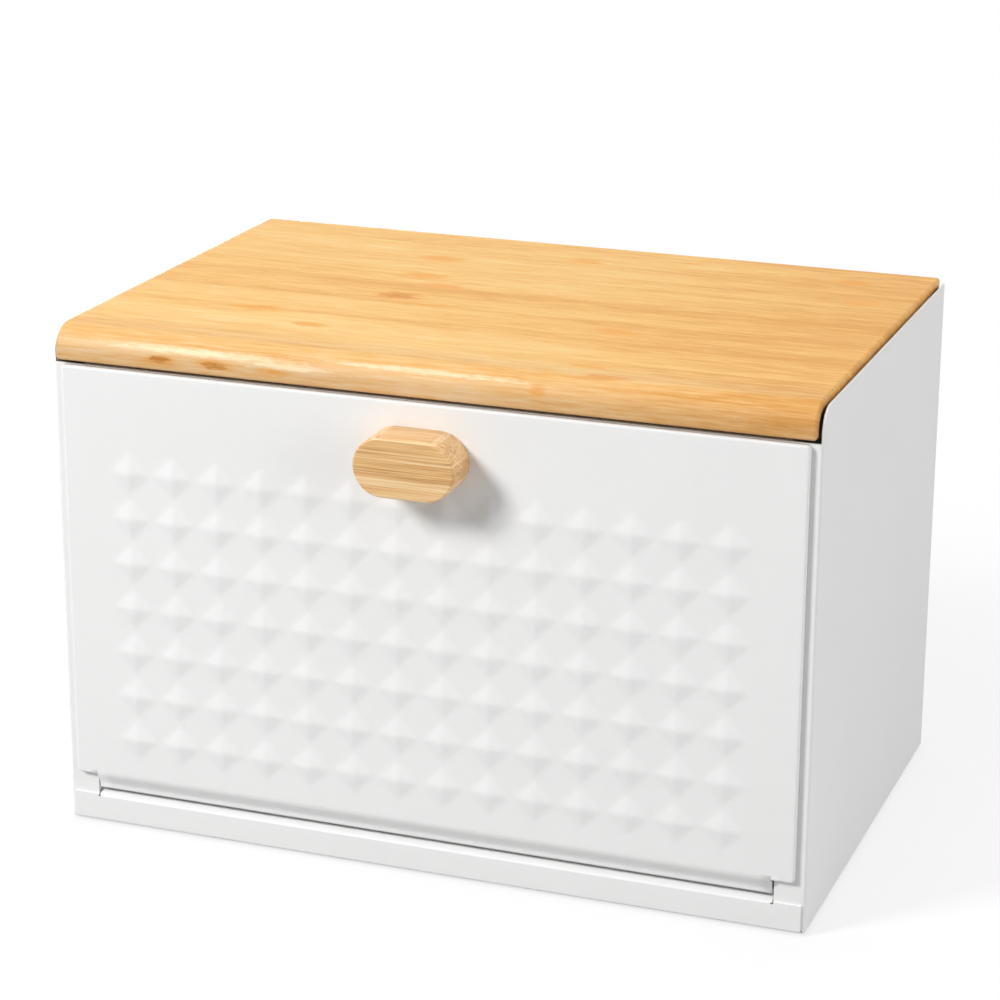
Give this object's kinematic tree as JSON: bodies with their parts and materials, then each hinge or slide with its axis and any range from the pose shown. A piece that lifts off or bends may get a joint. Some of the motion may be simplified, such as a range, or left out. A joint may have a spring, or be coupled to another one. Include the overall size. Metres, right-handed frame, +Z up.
{
  "type": "bread bin",
  "caption": "Box-shaped bread bin of white sheet steel with a bamboo lid and a front flap that hinges down at its foot and carries raised diamonds and a bamboo knob.",
  "frame": {"origin": "on the table, below the centre of the whole bin's bounding box, knob and feet included", "axes": "+Z up, -Y towards the front, where the flap and the knob are, +X to the right seen from the front"},
  "size_m": [0.34, 0.2418, 0.2305],
  "materials": {
    "white_powder_coat": "fine powder coat, satin",
    "bamboo_lid": "clear lacquer, satin",
    "bamboo_knob": "clear lacquer, matt",
    "zinc_steel": "zinc plated",
    "brass": "turned",
    "black_nylon": "moulded",
    "white_plastic": "moulded",
    "magnet": "nickel plated",
    "foot_rubber": "matt"
  },
  "bodies": {
    "housing": {"side_panel_left": "white_powder_coat", "side_panel_right": "white_powder_coat", "back_panel": "white_powder_coat", "base_pan": "white_powder_coat", "front_rail": "white_powder_coat", "lid_bracket_left": "white_powder_coat", "lid_bracket_right": "white_powder_coat", "hinge_bracket_left": "white_powder_coat", "hinge_bracket_right": "white_powder_coat", "lid_screws": "zinc_steel", "lid_board": "bamboo_lid", "magnet_cup_left": "white_plastic", "magnet_cup_right": "white_plastic", "magnet_left": "magnet", "magnet_right": "magnet", "foot_front_left": "foot_rubber", "foot_front_right": "foot_rubber", "foot_rear_left": "foot_rubber", "foot_rear_right": "foot_rubber"},
    "flap": {"flap_panel": "white_powder_coat", "knob": "bamboo_knob", "knob_insert": "brass", "knob_screw": "zinc_steel", "hinge_lug_left": "white_powder_coat", "hinge_lug_right": "white_powder_coat", "hinge_pin_left": "zinc_steel", "hinge_pin_right": "zinc_steel", "hinge_washer_left": "black_nylon", "hinge_washer_right": "black_nylon"}
  },
  "joints": [
    {"name": "flap_hinge", "type": "hinge", "parent": "housing", "child": "flap", "pos_m": [0, -0.0958, 0.0207], "axis": [1, 0, 0], "range_deg": [0, 88]}
  ]
}
